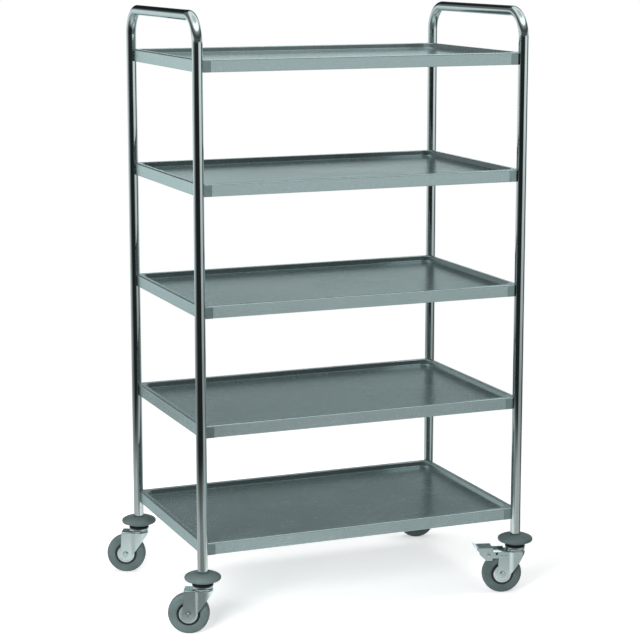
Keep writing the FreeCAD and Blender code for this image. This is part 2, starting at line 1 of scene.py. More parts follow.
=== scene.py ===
"""Looks of the serving trolley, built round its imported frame.

Lengths are in metres. +Z is up and the floor is at zero. Places come from the frame's joints and node
boxes, and each castor is described in its own space: the stem's axis at zero and the wheel towards -X.
"""
import bpy
import bmesh
import json
import math
import numpy as np
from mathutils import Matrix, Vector


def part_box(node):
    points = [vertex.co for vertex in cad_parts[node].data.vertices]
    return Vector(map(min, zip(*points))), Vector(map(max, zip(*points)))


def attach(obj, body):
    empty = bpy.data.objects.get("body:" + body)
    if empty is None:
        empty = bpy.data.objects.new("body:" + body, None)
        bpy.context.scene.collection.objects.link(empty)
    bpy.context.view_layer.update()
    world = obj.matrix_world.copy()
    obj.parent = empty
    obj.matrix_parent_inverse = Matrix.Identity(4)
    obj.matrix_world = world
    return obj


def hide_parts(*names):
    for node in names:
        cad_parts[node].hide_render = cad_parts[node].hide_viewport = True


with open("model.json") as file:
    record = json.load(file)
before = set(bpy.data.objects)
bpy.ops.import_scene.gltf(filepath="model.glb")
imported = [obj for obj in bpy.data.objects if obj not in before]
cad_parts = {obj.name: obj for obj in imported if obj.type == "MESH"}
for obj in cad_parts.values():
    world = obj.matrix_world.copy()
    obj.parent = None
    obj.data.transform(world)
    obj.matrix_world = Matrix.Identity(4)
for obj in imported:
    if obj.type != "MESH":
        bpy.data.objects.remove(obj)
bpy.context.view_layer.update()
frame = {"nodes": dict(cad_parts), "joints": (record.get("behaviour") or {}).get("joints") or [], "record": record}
joints = {joint["name"]: joint for joint in frame["joints"]}
bodies = frame["record"]["behaviour"]["bodies"]
body_of = {node: body for body, nodes in bodies.items() for node in nodes}
slot_of = {row["node"]: row["material_slot"] for row in frame["record"]["subparts"]}

# Side frames
tube_r = 0.0125
tube_wall = 0.0015
hand_bend_r = 0.062
tube_facets = 72
bend_steps = 28
post_steps = 12

# Trays
tray_count = 5
sheet = 0.001
skirt_edge_r = 0.003
rim_width = 0.012
well_depth = 0.013
well_draft = 0.0045
well_corner_r = 0.028
hem_width = 0.008
hem_bend_r = 0.0015
notch_r = 0.0128
seam_reach = 0.0325
edge_strip = 0.004
well_edge_round = 0.0016
well_foot_round = 0.0032
floor_sag = 0.0004
floor_rings = 6
tray_stations = 22
tray_corner_steps = 9
tray_bend_points = 7

# Castors, in each castor's own space
trail = 0.034
tyre_half = 0.0135
tyre_inner_r = 0.0285
hub_half = 0.015
guard_r = 0.0228
guard_sheet = 0.001
guard_lip = 0.002
fork_sheet = 0.0025
side_gap = 0.0004
fit = 0.00005
axle_r = 0.004
bolt_head_across = 0.013
bolt_head_height = 0.0053
nut_height = 0.0065
bolt_end = 0.0025
hex_chamfer = 0.0005
thread_length = 0.0032
thread_pitch = 0.00125
thread_depth = 0.0006
thread_chamfer = 0.0005
thread_crest_flat = 0.4
thread_rows = 34
fork_outer = hub_half + side_gap + 2 * fit + guard_sheet + fork_sheet
sleeve_r = 0.006
hub_r = 0.0095
web_half = 0.004
web_draft = 0.0008
recess_r = 0.024
tyre_bead = 0.0015
tyre_bead_cut = 0.0012
tyre_line = 0.0007
tread_share = 0.45  # of the half width
shoulder_share = 0.58  # of the section, and so the next two
line_share = 0.06
flank_share = 0.2
line_floor_share = 0.3  # of the line
guard_ring_r = 0.0175
guard_ring_half = 0.0013
guard_ring_floor_half = 0.0006
guard_step = 0.0005
stem_r = 0.005
socket_fit = 0.00015
bumper_neck_wall = 0.0012
bumper_socket = 0.0125
bumper_lip = 0.0004
bumper_foot_cut = 0.0016
bumper_foot = (0.42, 0.5)  # of the radius. The next two are of the radius and height.
bumper_edge = ((0.93, 0.31), (1, 0.52), (0.94, 0.72))
bumper_crown = (0.68, 0.92)
seal_sheet = 0.002
seal_flare = 0.005
seal_inset = 0.0014
seal_rim_clearance = 0.002
running_gap = 0.0006
cup_r = 0.0246
cup_inner_r = 0.0212
cup_height = 0.0089
cup_shoulder_cut = 0.0034
cup_inner_cut = 0.0006
seal_rim_height = 0.0045
seal_rim_straight = 0.55
seat_gap = 0.0002
pedal_outer = 0.0213
pedal_boss = 0.0007
pin_r = 0.0025
pin_head_r = 0.0046
pin_head_height = 0.0014
leaf_gap = 0.003
leaf_sheet = 0.0012
ear_depth = 0.0095
rivet_r = 0.0022
rivet_head_r = 0.0032
rivet_head_height = 0.0012
rivet_degs = (80.5, 93.5)
head_straight = 0.35
head_taper = 0.999

# Facets of turned shapes, and points along their curves
turn_facets = 96
bumper_facets = 128
bumper_edge_steps = 14
bumper_crown_steps = 18
tyre_facets = 144
tyre_shoulder_steps = 12
hex_facets = 72
thread_facets = 48
head_facets = 40
dome_steps = 8
rod_facets = 32

# Smoothing
longest_cut = 0.48
crease_angle = math.radians(32)
creases = {"bumper": math.radians(50), "tyre": math.radians(40)}
pressed_edge = 0.00045
thin_edge = 0.00025
edge_segments = 2
flat_face_weight = 80
merge_reach = 1e-6
copy_merge_reach = 2e-6
flat_angle = math.radians(0.6)

# Patterns. A band is the part of a noise that is spread over 0 to 1.
grain_band = (0.36, 0.64)
fine_grain = 3.7
smudge_band = (0.35, 0.68)
smudge_warp = 0.8
scratch_turns = (0.35, -0.9)
scratch_stretch = (0.05, 1.0, 0.6)
scratch_half_width = 0.006
scratch_patch_band = (0.54, 0.6)
dust_band = (0.35, 0.7)
speck_band = (0.62, 0.74)
specks_per_patch = 40.0
patch_inputs = [("Coordinates", "NodeSocketVector"), ("Per metre", "NodeSocketFloat")]

# Painted shade darkening the wells' long walls, and the distances from the well's edge over which it comes and
# goes
painted_wall_shade = 0.64
painted_wall_shade_uneven = 0.1
painted_wall_shade_tone = (0.05, 0.065, 0.065, 1)
painted_shade_top_band = (0.0002, -0.0008)
painted_shade_foot_band = (-0.009, -0.005)

# Metals: dark and pale tone, roughness, grain per metre along each axis, smudges per metre, grain depth
metal_tint = (0.88, 0.98, 1.0, 1)
grain_share = 0.45
smudge_share = 0.55
scratch_rough = 0.05
metals = {
    "tube_steel": ((0.53, 0.58, 0.575), (0.61, 0.67, 0.665), 0.05, (260, 260, 5), 14, 6e-7),
    "tray_steel": ((0.39, 0.475, 0.48), (0.44, 0.535, 0.54), 0.235, (5, 1800, 1), 5, 4e-7),
    "corner_steel": ((0.29, 0.36, 0.365), (0.34, 0.42, 0.42), 0.28, (900, 900, 30), 40, 2e-6),
    "screw_steel": ((0.50, 0.54, 0.54), (0.62, 0.66, 0.66), 0.25, (300, 300, 300), 60, 6e-6),
    "stem_steel": ((0.50, 0.54, 0.54), (0.60, 0.65, 0.65), 0.25, (300, 300, 300), 60, 6e-6),
    "ball_steel": ((0.55, 0.58, 0.58), (0.62, 0.65, 0.65), 0.1, (300, 300, 300), 60, 2e-6),
    "fork_zinc": ((0.56, 0.65, 0.65), (0.64, 0.73, 0.73), 0.16, (70, 70, 70), 40, 4e-6),
    "pedal_zinc": ((0.56, 0.65, 0.65), (0.66, 0.75, 0.75), 0.16, (70, 70, 70), 50, 4e-6),
    "leaf_steel": ((0.30, 0.34, 0.34), (0.42, 0.47, 0.47), 0.28, (90, 900, 90), 50, 6e-6),
    "bolt_zinc": ((0.46, 0.55, 0.55), (0.60, 0.69, 0.69), 0.22, (260, 260, 260), 90, 1e-5),
    "guard_zinc": ((0.74, 0.83, 0.83), (0.86, 0.93, 0.93), 0.42, (220, 220, 220), 60, 1e-5),
}
soft_zinc = {"line_rough": 0.03, "smudge_rough": 0.06}
metal_changes = {
    "tube_steel": {"scratch_scale": 60, "line_rough": 0.015, "smudge_rough": 0.04, "scratch_depth": 0},
    "tray_steel": {"line_rough": 0.03, "smudge_rough": 0.035, "scratch_depth": 0.3, "sheet_map": True,
                   "metallic": 0.87},
    "corner_steel": {"scratch_depth": 0.3},
    "fork_zinc": soft_zinc,
    "pedal_zinc": soft_zinc,
}

# Rubbers and plastics: the same, with dust patches and grains per metre, grain depth and specular level
film_share = 0.8
speck_share = 0.35
film_smooths = 0.06
film_dulls = 0.08
mouldings = {
    "bumper_rubber": ((0.074, 0.106, 0.105), (0.110, 0.150, 0.147), 0.55, 22, 2400, 4e-5, 0.35),
    "tyre_rubber": ((0.075, 0.105, 0.105), (0.115, 0.155, 0.155), 0.55, 26, 2200, 3e-5, 0.35),
    "seal_plastic": ((0.006, 0.008, 0.008), (0.013, 0.016, 0.016), 0.38, 40, 1600, 2e-5, 0.5),
    "expander_plastic": ((0.012, 0.013, 0.014), (0.02, 0.022, 0.023), 0.45, 40, 1600, 2e-5, 0.5),
    "wheel_plastic": ((0.006, 0.008, 0.008), (0.014, 0.017, 0.017), 0.42, 40, 1600, 2e-5, 0.5),
}

# Floor and background
floor_half = 30
floor_tone = (0.8, 0.8, 0.8, 1)
floor_lift = 0.5
floor_fade = (1.0, 2.6)
world_fill = 0.3

# Studio that mirrors see. Gradient: height and brightness. Panels: two azimuths, two heights and the
# brightness, a later one over the earlier. Azimuth 0 is the front and 90 the right. All in degrees.
studio_r = 28.0
studio_near_rings = (0.33, 0.5)
studio_open_r = 0.65
studio_rings = 40
studio_rises = 90
studio_columns = 240
studio_lift = 0.004
studio_top_r = 0.01
studio_eye = 0.7
studio_clear_r = 0.34
studio_clear_fade = 0.3
studio_tint = (0.93, 1.0, 0.995)
panel_soft_side = 8.0
panel_soft_end = 9.0
studio_gradient = [
    (-90, 0.85), (-26, 0.6), (-14, 0.38), (-4, 0.8), (1, 1.4), (4, 1.8), (7, 1.15), (10, 0.42),
    (13, 0.18), (17, 0.08), (24, 0.1), (38, 0.42), (44, 1.1), (68, 1.1), (74, 0.75), (90, 0.75),
]
studio_panels = [
    ((-64, -16), (-90, -20), 0.3), ((14, 60), (-90, -24), 0.55), ((66, 100), (-90, -24), 0.12),
    ((-88, 9), (-24, 7), 0.022), ((-80, 66), (2, 13), 0.08), ((66, 98), (-24, 5), 0.03),
    ((106, 128), (-8, 46), 0.95), ((-182, -124), (-8, 2), 0.9), ((-182, -124), (3, 40), 0.2),
    ((-112, -90), (-24, 5), 0.16), ((-75, 75), (43, 68), 1.8), ((167, 197), (9, 40), 0.02),
]

# Camera, with its place measured from the middle of the posts
camera_lens = 112.0
camera_shift = -0.045
camera_offset = (-1.876, -4.576)
camera_height = 1.621
camera_yaw = math.radians(22.17)
camera_pitch = math.radians(9.88)


def brace_rows(rows, columns, wrap_rows):
    """Quads of a grid of points whose rows are rings. Each joins a point, the next in its row, and the
    two in the next row. The last row may join the first."""
    r = np.arange(rows if wrap_rows else rows - 1)[:, None]
    c = np.arange(columns)[None, :]
    here, below = r * columns, (r + 1) % rows * columns
    after = (c + 1) % columns
    return np.stack([here + c, here + after, below + after, below + c], axis=-1)


def new_piece(name, points, faces):
    """An object at the origin from an array of points and a list of faces."""
    mesh = bpy.data.meshes.new(name)
    mesh.from_pydata(np.asarray(points, float).reshape(-1, 3).tolist(), [], [list(f) for f in faces])
    piece = bpy.data.objects.new(name, mesh)
    bpy.context.scene.collection.objects.link(piece)
    return piece


def tidy_mesh(piece):
    """Merge points that coincide, drop faces that this closes up, and turn the faces outwards."""
    bm = bmesh.new()
    bm.from_mesh(piece.data)
    bmesh.ops.remove_doubles(bm, verts=bm.verts, dist=merge_reach)
    bmesh.ops.dissolve_degenerate(bm, edges=bm.edges, dist=merge_reach)
    bmesh.ops.recalc_face_normals(bm, faces=bm.faces)
    bm.to_mesh(piece.data)
    bm.free()
    return piece


def bake_modifiers(piece):
    """Replace the piece's mesh with what its modifiers make of it."""
    made = bpy.data.meshes.new_from_object(piece.evaluated_get(bpy.context.evaluated_depsgraph_get()))
    piece.modifiers.clear()
    old = piece.data
    piece.data = made
    bpy.data.meshes.remove(old)
    made.name = piece.name
    return piece


def rounded(corners, cuts, steps=6, closed=True):
    """Outline whose corners are rounded: each corner B becomes the curve (1-s)^2 A + 2s(1-s) B + s^2 C,
    where A and C lie on the two sides at the corner's cut from B, or just short of their middles."""
    corners = np.asarray(corners, float)
    cuts = np.broadcast_to(np.asarray(cuts, float), len(corners))
    before = np.roll(corners, 1, axis=0) - corners
    after = np.roll(corners, -1, axis=0) - corners
    before_length = np.linalg.norm(before, axis=1)
    after_length = np.linalg.norm(after, axis=1)
    reach = np.minimum(cuts, longest_cut * np.minimum(before_length, after_length))
    start = corners + before * (reach / before_length)[:, None]
    end = corners + after * (reach / after_length)[:, None]
    s = np.linspace(0, 1, steps + 1)[None, :, None]
    curve = (1 - s) ** 2 * start[:, None] + 2 * s * (1 - s) * corners[:, None] + s ** 2 * end[:, None]
    if closed:
        return curve.reshape(-1, 2)
    return np.vstack([corners[:1], curve[1:-1].reshape(-1, 2), corners[-1:]])


def full_turn(count):
    """So many angles evenly round a full turn."""
    return np.linspace(0, 2 * math.pi, count, endpoint=False)


def turned(profile, facets=turn_facets):
    """Surface of a closed outline of (r, z) points carried round Z: x = r cos a, y = r sin a."""
    angle = full_turn(facets)
    r = profile[:, :1]
    z = np.broadcast_to(profile[:, 1:], (len(profile), facets))
    grid = np.stack([r * np.cos(angle), r * np.sin(angle), z], axis=-1)
    faces = brace_rows(len(profile), facets, True)
    return grid.reshape(-1, 3), faces.reshape(-1, 4)


def hex_prism(height, bore):
    """Hexagon of a bolt's head or nut with its corners turned off: the side is at r(a) = half / cos(a)
    within 30 degrees of each flat, and the cone above it falls by (r(a) - half) tan 30. A bore of zero
    closes the top."""
    half = bolt_head_across / 2
    angle = full_turn(hex_facets)
    off_flat = (angle + math.pi / 6) % (math.pi / 3) - math.pi / 6
    side = half / np.cos(off_flat)
    fall = hex_chamfer + (side - half) * math.tan(math.pi / 6)
    rows = [(bore, 0), (side, 0), (side, height - fall), (half - hex_chamfer, height), (bore, height)]
    grid = np.array([np.broadcast_arrays(r * np.cos(angle), r * np.sin(angle), z) for r, z in rows])
    faces = brace_rows(len(rows), hex_facets, True)
    return grid.transpose(0, 2, 1).reshape(-1, 3), faces.reshape(-1, 4)


def joined(parts):
    """Points and faces of several shapes as one."""
    points, faces, count = [], [], 0
    for part_points, part_faces in parts:
        points.append(part_points)
        faces += [[int(i) + count for i in face] for face in part_faces]
        count += len(part_points)
    return np.vstack(points), faces


def space_of(castor):
    """Place of a castor's stem on the floor and the castor's axes: forwards, along the axle, upwards."""
    stem = np.array(joints[castor + "_swivel"]["pos_m"], float)
    stem[2] = 0
    axle = np.array(joints[castor + "_wheel_spin"]["axis"], float)
    up = np.array((0.0, 0.0, 1.0))
    return stem, np.array([np.cross(axle, up), axle, up])


def at_castor(points, castor):
    """Points of a castor's own space, in the frame."""
    stem, axes = space_of(castor)
    return stem + np.asarray(points) @ axes


def along_axle(points, x, z):
    """A shape turned about Z, laid along the castor's axle direction with its top to the near side."""
    points = np.asarray(points)
    return np.stack([points[:, 0] + x, -points[:, 2], points[:, 1] + z], axis=-1)


def wheel_radius(castor):
    """Radius of a castor's wheel, from the box of its tyre, which stands on the floor."""
    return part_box(castor + "_tyre")[1].z / 2


def on_axle(castor, points, faces):
    """A shape turned about Z, laid on the castor's axle in the castor's own space."""
    return along_axle(points, -trail, wheel_radius(castor)), faces


def dress(piece, node):
    """The piece takes the node's place: its body, its slot and that slot's finish."""
    piece.data.materials.clear()
    piece.data.materials.append(finishes[slot_of[node]])
    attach(piece, body_of[node])
    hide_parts(node)


def finish_edges(piece, edge, angle=crease_angle):
    """Round the sharp edges by a width, then shade with a crease wherever faces meet at more than the
    angle, so that flat faces stay flat beside the rounding."""
    if edge:
        bevel = piece.modifiers.new("edges", "BEVEL")
        bevel.width = edge
        bevel.segments = edge_segments
        bevel.limit_method = "ANGLE"
        bevel.angle_limit = angle
        bake_modifiers(piece)
    piece.data.shade_smooth()
    piece.data.set_sharp_from_angle(angle=angle)
    weights = piece.modifiers.new("flat faces lead", "WEIGHTED_NORMAL")
    weights.keep_sharp = True
    weights.weight = flat_face_weight
    return bake_modifiers(piece)


def finished(node, points, faces, angle=crease_angle):
    """A smooth piece from a shape, named after the node that it stands for, in that node's place."""
    piece = tidy_mesh(new_piece(node + "_finished", points, faces))
    dress(finish_edges(piece, 0, angle), node)


def read_mesh(mesh):
    """The mesh's points, and the point at each corner of its faces."""
    points = np.empty(len(mesh.vertices) * 3, np.float32)
    mesh.vertices.foreach_get("co", points)
    corners = np.empty(len(mesh.loops), np.int32)
    mesh.loops.foreach_get("vertex_index", corners)
    return points.reshape(-1, 3), corners


def copy_of(node, edge):
    """The node's own shape, merged, with its flat faces joined and its edges rounded."""
    points, corners = read_mesh(frame["nodes"][node].data)
    piece = new_piece(node + "_finished", points, corners.reshape(-1, 3))
    bm = bmesh.new()
    bm.from_mesh(piece.data)
    bmesh.ops.remove_doubles(bm, verts=bm.verts, dist=copy_merge_reach)
    bmesh.ops.dissolve_limit(bm, angle_limit=flat_angle, verts=bm.verts, edges=bm.edges)
    bm.to_mesh(piece.data)
    bm.free()
    return finish_edges(piece, edge)


def frame_tube(side):
    """Tube carried along posts, hand bends and push bar: at each station the ring is the centre plus
    r cos a along the bend's normal and r sin a along X. The bore runs back inside to close it."""
    node = side + "_frame_tube"
    low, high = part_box(node)
    x = (low.x + high.x) / 2
    front, back, top = low.y + tube_r, high.y - tube_r, high.z - tube_r
    bend_front, bend_back, bend_foot = front + hand_bend_r, back - hand_bend_r, top - hand_bend_r
    turn = np.linspace(0, math.pi / 2, bend_steps)
    along, up = hand_bend_r * np.cos(turn), hand_bend_r * np.sin(turn)
    rise = np.linspace(low.z, bend_foot, post_steps)
    bar = np.linspace(bend_front, bend_back, post_steps)[1:-1]
    y = np.concatenate([np.full(post_steps, front), (bend_front - along)[1:], bar, bend_back + up,
                        np.full(post_steps - 1, back)])
    z = np.concatenate([rise, (bend_foot + up)[1:], np.full(len(bar), top), bend_foot + along,
                        rise[::-1][1:]])
    heading = np.concatenate([
        np.full(post_steps, math.pi / 2), (math.pi / 2 - turn)[1:], np.zeros(len(bar)),
        -turn, np.full(post_steps - 1, -math.pi / 2)])
    a = full_turn(tube_facets)

    def rings(r, backwards):
        """Ring of radius r at each station, from the last station when it runs backwards."""
        order = slice(None, None, -1 if backwards else 1)
        cy, cz, h = y[order, None], z[order, None], heading[order, None]
        return np.stack([np.broadcast_to(x + r * np.sin(a), (len(y), tube_facets)),
                         cy - np.sin(h) * r * np.cos(a), cz + np.cos(h) * r * np.cos(a)], axis=-1)

    grid = np.concatenate([rings(tube_r, False), rings(tube_r - tube_wall, True)])
    faces = brace_rows(len(grid), tube_facets, True).reshape(-1, 4)
    finished(node, grid.reshape(-1, 3), faces)


def well_profile(top):
    """Inset and height from the rim over the well's rounded edge, down its wall and on to the floor."""
    foot_inset = rim_width + well_draft
    corners = [(rim_width - 2 * well_edge_round, top), (rim_width, top), (foot_inset, top - well_depth),
               (foot_inset + 2 * well_foot_round, top - well_depth)]
    cuts = [0, well_edge_round, well_foot_round, 0]
    return rounded(corners, cuts, steps=tray_bend_points, closed=False)


def skirt_profile(foot, top):
    """Inset and height from the hem's inner edge round its bend, up the skirt and over the top bend."""
    turn = np.linspace(0, math.pi / 2, tray_bend_points)
    near, far = 1 - np.sin(turn), 1 - np.cos(turn)
    hem_bend = np.stack([hem_bend_r * near, foot + hem_bend_r * far], axis=-1)
    top_bend = np.stack([skirt_edge_r * far, top - skirt_edge_r * near], axis=-1)
    hem_end = [(sheet + hem_width, foot)]
    strip_foot = [(0.0, top - edge_strip)]
    return np.vstack([hem_end, hem_bend, strip_foot, top_bend]), 1 + len(hem_bend)


def tray_side(half_along, half_across, foot, top):
    """One side of a tray and the corner after it, in a space where the side faces -Y.

    A column stands at the share t of the side from -1 to 1. Its skirt rows lie at t times the length
    between the two notches, its well rows at t times the well's straight length, and its rim rows
    between them. A corner column runs from the notch's arc to the well's corner arc."""
    seam = (half_along - seam_reach) / (half_along - notch_r)
    t = np.concatenate([[-1.0], np.linspace(-seam, seam, tray_stations), [1.0]])
    skirt, seam_row = skirt_profile(foot, top)
    well = well_profile(top)
    rows = []
    share = np.linspace(0, 1, tray_corner_steps + 2)[1:-1]
    first = math.asin(skirt_edge_r / notch_r)
    notch_turn = first + share * (math.pi / 2 - 2 * first)
    notch_x = half_along - notch_r * np.cos(notch_turn)
    notch_y = -half_across + notch_r * np.sin(notch_turn)
    for i, (inset, z) in enumerate(skirt):
        reach = notch_r if i <= seam_row else math.sqrt(notch_r ** 2 - inset ** 2)
        x = np.concatenate([t * (half_along - reach), notch_x])
        y = np.concatenate([np.full(len(t), -half_across + inset), notch_y])
        rows.append((x, y, np.full(len(x), z)))
    corner_turn = share * math.pi / 2
    for inset, z in well:
        r = well_corner_r + rim_width - inset
        straight = half_along - inset - r
        x = np.concatenate([t * straight, straight + r * np.sin(corner_turn)])
        edge = -half_across + inset
        y = np.concatenate([np.full(len(t), edge), edge + r - r * np.cos(corner_turn)])
        rows.append((x, y, np.full(len(x), z)))
    grid = np.array(rows).transpose(0, 2, 1)
    ring = grid[-1]
    for step in range(1, floor_rings + 1):
        keep = 1 - step / floor_rings
        inner = ring * (keep, keep, 1)
        u = inner[:, 0] / (half_along - rim_width)
        v = inner[:, 1] / (half_across - rim_width)
        inner[:, 2] -= floor_sag * (1 - u ** 2) * (1 - v ** 2) * (1 - keep ** 4)
        grid = np.concatenate([grid, inner[None]])
    return grid, len(t), seam_row, len(skirt)


def lay_flat(piece, centre, half_x, half_y, top):
    """UV map of the sheet before it was pressed: a skirt's points move outwards by their depth below the
    top."""
    points, corners = read_mesh(piece.data)
    x, y, drop = points[:, 0] - centre[0], points[:, 1] - centre[1], top - points[:, 2]
    inside_x, inside_y = half_x - np.abs(x), half_y - np.abs(y)
    on_side = inside_x < inside_y
    skirt = np.minimum(inside_x, inside_y) < rim_width / 2
    out_x, out_y = drop * (on_side & skirt), drop * (~on_side & skirt)
    flat = np.stack([x + np.sign(x) * out_x, y + np.sign(y) * out_y], axis=-1)
    layer = piece.data.uv_layers.new(name="sheet")
    layer.data.foreach_set("uv", flat[corners].astype(np.float32).ravel())


def tray(number):
    """Pressed tray: one skin from hem to floor, thickened inwards to the sheet."""
    node = "tray_%d" % number
    low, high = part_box(node)
    centre = ((low.x + high.x) / 2, (low.y + high.y) / 2)
    half_x = (high.x - low.x) / 2
    half_y = (high.y - low.y) / 2
    sides = []
    for c, s in ((1, 0), (0, 1), (-1, 0), (0, -1)):
        along, across = (half_x, half_y) if c else (half_y, half_x)
        side, side_columns, seam_row, skirt_rows = tray_side(along, across, low.z, high.z)
        x, y, z = np.moveaxis(side, -1, 0)
        sides.append(np.stack([c * x - s * y + centre[0], s * x + c * y + centre[1], z], axis=-1))
    grid = np.concatenate(sides, axis=1)
    kinds = np.zeros(side.shape[1], int)
    kinds[1:side_columns - 2] = 2
    kinds[[0, side_columns - 2]] = 1
    kinds = np.tile(kinds, len(sides))
    faces = brace_rows(grid.shape[0], grid.shape[1], False)
    row = np.arange(faces.shape[0])[:, None]
    kept = (row >= skirt_rows - 1) | ((row >= seam_row) & (kinds[None, :] >= 1)) | (kinds[None, :] == 2)
    piece = new_piece(node + "_finished", grid, faces[kept].tolist())
    bm = bmesh.new()
    bm.from_mesh(piece.data)
    bmesh.ops.remove_doubles(bm, verts=bm.verts, dist=merge_reach)
    bmesh.ops.delete(bm, geom=[v for v in bm.verts if not v.link_faces], context="VERTS")
    bm.to_mesh(piece.data)
    bm.free()
    lay_flat(piece, centre, half_x, half_y, high.z)
    wall = piece.modifiers.new("sheet", "SOLIDIFY")
    wall.thickness = sheet
    wall.offset = -1
    wall.use_even_offset = True
    dress(finish_edges(bake_modifiers(piece), 0), node)


def arc_through(a, b, c, steps=10):
    """Points from a over b to c on their circle, whose centre is where the chords' bisectors meet."""
    a, b, c = (np.asarray(p, float) for p in (a, b, c))
    sides = np.array([b - a, c - b])
    middle = np.array([(a + b) / 2, (b + c) / 2])
    centre = np.linalg.solve(sides, (sides * middle).sum(axis=1))
    r = np.linalg.norm(a - centre)
    turns = np.unwrap([math.atan2(*(p - centre)[::-1]) for p in (a, b, c)])
    turn = np.linspace(turns[0], turns[2], steps + 1)
    return centre + r * np.stack([np.cos(turn), np.sin(turn)], axis=-1)


def bumper(castor):
    """Rubber saucer: flat foot, flaring flank, round edge and a crown that rises to the post."""
    low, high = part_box(castor + "_bumper")
    r = (high.x - low.x) / 2
    h = high.z - low.z
    neck_r = tube_r + socket_fit + bumper_neck_wall
    edge = arc_through(*[(r * out, h * up) for out, up in bumper_edge], steps=bumper_edge_steps)
    top = (r * bumper_crown[0], h * bumper_crown[1])
    crown = arc_through(edge[-1], top, (neck_r, h), bumper_crown_steps)
    foot = rounded([(r * bumper_foot[0], 0), (r * bumper_foot[1], 0), edge[0]], [0, bumper_foot_cut, 0],
                   closed=False)
    socket_r = tube_r + socket_fit
    bore_r = stem_r + socket_fit
    profile = np.vstack([
        foot, edge[1:], crown[1:],
        [(neck_r - bumper_neck_wall / 2, h), (socket_r, h - bumper_lip), (socket_r, h - bumper_socket),
         (bore_r, h - bumper_socket), (bore_r, 0)]])
    profile[:, 1] += low.z
    return turned(profile, bumper_facets)


def seal(castor):
    """Moulded cap over the swivel race, with a soft edge at its top and its rim just over the cup."""
    low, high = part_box(castor + "_seal")
    rim_r = (high.x - low.x) / 2 - seal_inset
    top_r = rim_r - seal_flare
    foot_z = low.z + cup_height - seal_rim_clearance + running_gap
    rim_z = foot_z + seal_rim_height * seal_rim_straight
    bore_r = stem_r + socket_fit
    corners = [
        (bore_r, high.z), (bore_r, high.z - seal_sheet), (top_r - seal_sheet, high.z - seal_sheet),
        (rim_r - seal_sheet, rim_z), (rim_r - seal_sheet, foot_z), (rim_r, foot_z), (rim_r, rim_z),
        (top_r, high.z)]
    cuts = [0, 0, 0.0005, 0.0008, 0.0003, 0.0007, 0.0012, 0.0012]
    return turned(rounded(corners, cuts))


def fork(castor):
    """Pressed fork with the raised rim round its balls: a ring with a round shoulder, about the stem."""
    node = castor + "_fork"
    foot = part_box(castor + "_seal")[0].z - seal_rim_clearance
    top = foot + cup_height
    corners = [(cup_inner_r, foot), (cup_r, foot), (cup_r, top), (cup_inner_r, top)]
    points, faces = turned(rounded(corners, [0, 0, cup_shoulder_cut, cup_inner_cut], steps=8))
    piece = copy_of(node, pressed_edge)
    bm = bmesh.new()
    bm.from_mesh(piece.data)
    made = [bm.verts.new(point) for point in at_castor(points, castor)]
    for face in faces:
        bm.faces.new([made[i] for i in face]).smooth = True
    bm.to_mesh(piece.data)
    bm.free()
    dress(piece, node)


def tyre(castor):
    """Crowned tread on round shoulders, a flat flank with a moulded line, and a bead at the centre."""
    wheel_r = wheel_radius(castor)
    section = wheel_r - tyre_inner_r
    tread = tyre_half * tread_share
    crown = wheel_r - tread ** 2 / (4 * wheel_r)
    shoulder = tyre_inner_r + section * shoulder_share
    reach = 1 - math.sqrt(0.5)
    over = (crown - (wheel_r - shoulder) * reach, tyre_half - (tyre_half - tread) * reach)
    line = shoulder - section * line_share
    groove = tyre_half - tyre_line / 2
    narrow = tyre_line * line_floor_share
    flank = [(tyre_inner_r, tyre_half - tyre_bead), (tyre_inner_r + section * flank_share, tyre_half),
             (line - tyre_line, tyre_half)]
    half = np.vstack([
        rounded(flank, [0, tyre_bead_cut, 0], closed=False),
        [(line - narrow, groove), (line + narrow, groove), (line + tyre_line, tyre_half)],
        arc_through((shoulder, tyre_half), over, (crown, tread), tyre_shoulder_steps)])
    top = arc_through((crown, tread), (wheel_r, 0), (crown, -tread))
    profile = np.vstack([half, top[1:-1], half[::-1] * (1, -1)])
    return on_axle(castor, *turned(profile, tyre_facets))


def wheel_centre(castor):
    """Moulded centre: hub, web and the rim that carries the tyre, with soft moulded corners."""
    bore_r = sleeve_r + fit
    rim_half = tyre_half - tyre_bead
    upper = [(bore_r, hub_half), (hub_r, hub_half), (hub_r + web_draft, web_half),
             (recess_r - web_draft, web_half), (recess_r, rim_half), (tyre_inner_r, rim_half)]
    corners = upper + [(r, -z) for r, z in reversed(upper)]
    cuts = [0.0004, 0.0008, 0.0016, 0.0016, 0.0008, 0]
    return on_axle(castor, *turned(rounded(corners, cuts + cuts[::-1], steps=4)))


def thread_guards(castor):
    """Two dished discs with a pressed ring and a lip that turns towards the wheel."""
    inner = hub_half + side_gap + fit
    face = inner + guard_sheet
    step = face - guard_step
    bend_r = guard_r - guard_lip
    bore_r = axle_r + fit
    ring, wide, narrow = guard_ring_r, guard_ring_half, guard_ring_floor_half
    outer_side = rounded(
        [(bore_r, face), (ring - wide, face), (ring - narrow, step), (ring + narrow, step),
         (ring + wide, face), (bend_r, face), (guard_r, face - guard_lip), (guard_r, inner - guard_lip)],
        [0, 0.0004, 0.0004, 0.0004, 0.0004, 0.0009, 0.0008, 0], steps=4, closed=False)
    inner_side = [(guard_r - guard_sheet, inner - guard_lip), (bend_r - guard_sheet / 2, inner),
                  (bore_r, inner)]
    points, faces = turned(np.vstack([outer_side, inner_side]))
    return on_axle(castor, *joined([(points, faces), (points * (1, -1, -1), faces)]))


